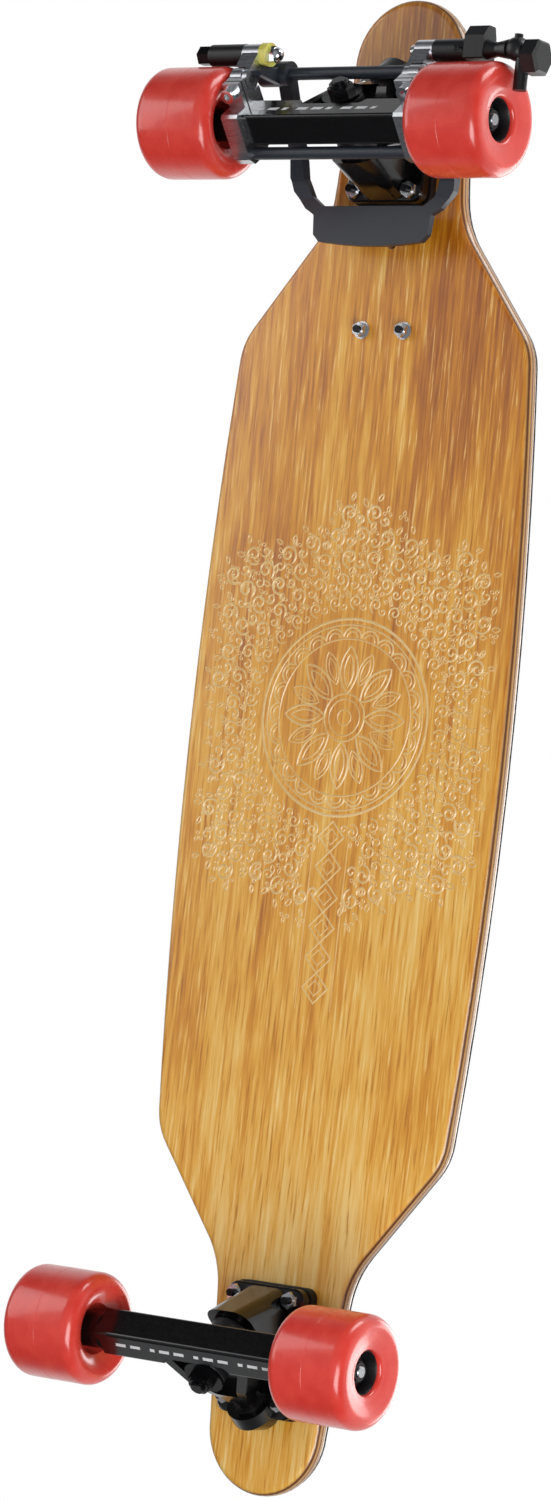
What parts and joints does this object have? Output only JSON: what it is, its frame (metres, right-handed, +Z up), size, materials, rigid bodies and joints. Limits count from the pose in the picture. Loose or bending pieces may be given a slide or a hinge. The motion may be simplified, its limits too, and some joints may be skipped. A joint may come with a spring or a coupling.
{
  "type": "longboard skateboard with foot brake",
  "caption": "Cambered drop-shaped wooden longboard on reverse kingpin trucks with soft wheels, and a pedal-worked foot brake with rocking lever and pads on the rear truck.",
  "frame": {"origin": "on the ground, midway between the two axles, on the board's middle plane", "axes": "+X towards the nose (the plain truck), +Y to the rider's left, +Z up; the brake truck is at -X"},
  "size_m": [0.94, 0.2755, 0.15],
  "materials": {
    "deck_wood": "gloss varnish",
    "grip": "gritty matte",
    "riser_rubber": "matte",
    "truck_black": "gloss black",
    "wheel_urethane": "gloss",
    "bushing_urethane": "satin",
    "bearing_steel": "satin",
    "fastener_chrome": "polished",
    "bolt_black": "black oxide",
    "bracket_aluminium": "machined",
    "lever_charcoal": "satin",
    "brake_black": "satin",
    "nylon_yellow": "translucent satin",
    "pivot_plastic": "matte"
  },
  "bodies": {
    "board": {"deck": "deck_wood", "grip_tape": "grip", "riser_pads": "riser_rubber", "front_baseplate": "truck_black", "rear_baseplate": "truck_black", "mounting_bolts": "bolt_black", "lock_nuts": "fastener_chrome", "pivot_cups": "pivot_plastic", "kingpins": "fastener_chrome", "kingpin_nuts": "fastener_chrome", "bushing_washers": "fastener_chrome", "front_board_bushing": "bushing_urethane", "front_road_bushing": "bushing_urethane", "rear_board_bushing": "bushing_urethane", "rear_road_bushing": "bushing_urethane", "pedal_bracket": "lever_charcoal", "pedal_bolts": "bolt_black", "pedal_nuts": "fastener_chrome", "pedal_washers": "fastener_chrome", "pedal_hinge_pin": "bearing_steel", "pin_spring": "fastener_chrome"},
    "front_truck": {"front_hanger": "truck_black", "front_axle": "bearing_steel", "front_axle_nuts": "fastener_chrome", "front_wheel_spacers": "bearing_steel", "front_bearing_inner_rings": "bearing_steel"},
    "rear_truck": {"rear_hanger": "truck_black", "rear_axle": "bearing_steel", "rear_axle_nuts": "fastener_chrome", "rear_wheel_spacers": "bearing_steel", "rear_bearing_inner_rings": "bearing_steel", "left_clamp_bracket": "bracket_aluminium", "right_clamp_bracket": "bracket_aluminium", "clamp_screws": "fastener_chrome", "clamp_washers": "fastener_chrome", "cross_tube": "lever_charcoal", "rocker_pivots": "bearing_steel"},
    "brake": {"brake_lever": "lever_charcoal", "lever_rod": "lever_charcoal", "left_rocker": "bracket_aluminium", "right_rocker": "bracket_aluminium", "left_brake_pad": "brake_black", "right_brake_pad": "brake_black", "eye_bolts": "bolt_black", "nylon_washer": "nylon_yellow", "cap_nuts": "fastener_chrome", "right_brake_arm": "brake_black", "arm_ball_joint": "brake_black", "arm_clamp_head": "brake_black", "adjuster_knob": "brake_black"},
    "pedal": {"foot_pedal": "lever_charcoal"},
    "pin": {"push_pin": "bearing_steel"},
    "front_left_roller": {"front_left_wheel": "wheel_urethane", "front_left_bearing_outer_rings": "bearing_steel"},
    "front_right_roller": {"front_right_wheel": "wheel_urethane", "front_right_bearing_outer_rings": "bearing_steel"},
    "rear_left_roller": {"rear_left_wheel": "wheel_urethane", "rear_left_bearing_outer_rings": "bearing_steel"},
    "rear_right_roller": {"rear_right_wheel": "wheel_urethane", "rear_right_bearing_outer_rings": "bearing_steel"}
  },
  "joints": [
    {"name": "front_steer", "type": "hinge", "parent": "board", "child": "front_truck", "pos_m": [0.38003, 0, 0.0571], "axis": [0.6428, 0, 0.766], "range_deg": [-15, 15], "stiffness_Nm_per_rad": 60, "deforming": ["front_board_bushing", "front_road_bushing"]},
    {"name": "rear_steer", "type": "hinge", "parent": "board", "child": "rear_truck", "pos_m": [-0.38003, 0, 0.0571], "axis": [-0.6428, 0, 0.766], "range_deg": [-15, 15], "stiffness_Nm_per_rad": 60, "deforming": ["rear_board_bushing", "rear_road_bushing"]},
    {"name": "brake_swing", "type": "hinge", "parent": "rear_truck", "child": "brake", "pos_m": [-0.40247, 0, 0.02783], "axis": [0, 1, 0], "range_deg": [0, 7.01]},
    {"name": "pedal_press", "type": "hinge", "parent": "board", "child": "pedal", "pos_m": [-0.25, 0, 0.13914], "axis": [0, -1, 0], "range_deg": [0, 9], "stiffness_Nm_per_rad": 12, "springref_deg": -1.72},
    {"name": "pin_slide", "type": "slide", "parent": "board", "child": "pin", "axis": [0, 0, -1], "range_m": [0, 0.0102], "deforming": ["pin_spring"]},
    {"name": "front_left_spin", "type": "hinge", "parent": "front_truck", "child": "front_left_roller", "pos_m": [0.3765, 0.1, 0.035], "axis": [0, 1, 0], "continuous": true},
    {"name": "front_right_spin", "type": "hinge", "parent": "front_truck", "child": "front_right_roller", "pos_m": [0.3765, -0.1, 0.035], "axis": [0, 1, 0], "continuous": true},
    {"name": "rear_left_spin", "type": "hinge", "parent": "rear_truck", "child": "rear_left_roller", "pos_m": [-0.3765, 0.1, 0.035], "axis": [0, 1, 0], "continuous": true},
    {"name": "rear_right_spin", "type": "hinge", "parent": "rear_truck", "child": "rear_right_roller", "pos_m": [-0.3765, -0.1, 0.035], "axis": [0, 1, 0], "continuous": true}
  ],
  "couplings": [
    {"joint": "brake_swing", "follows": "pedal_press", "ratio": 0.77778},
    {"joint": "pin_slide", "follows": "pedal_press", "m_per_rad": 0.064934}
  ]
}
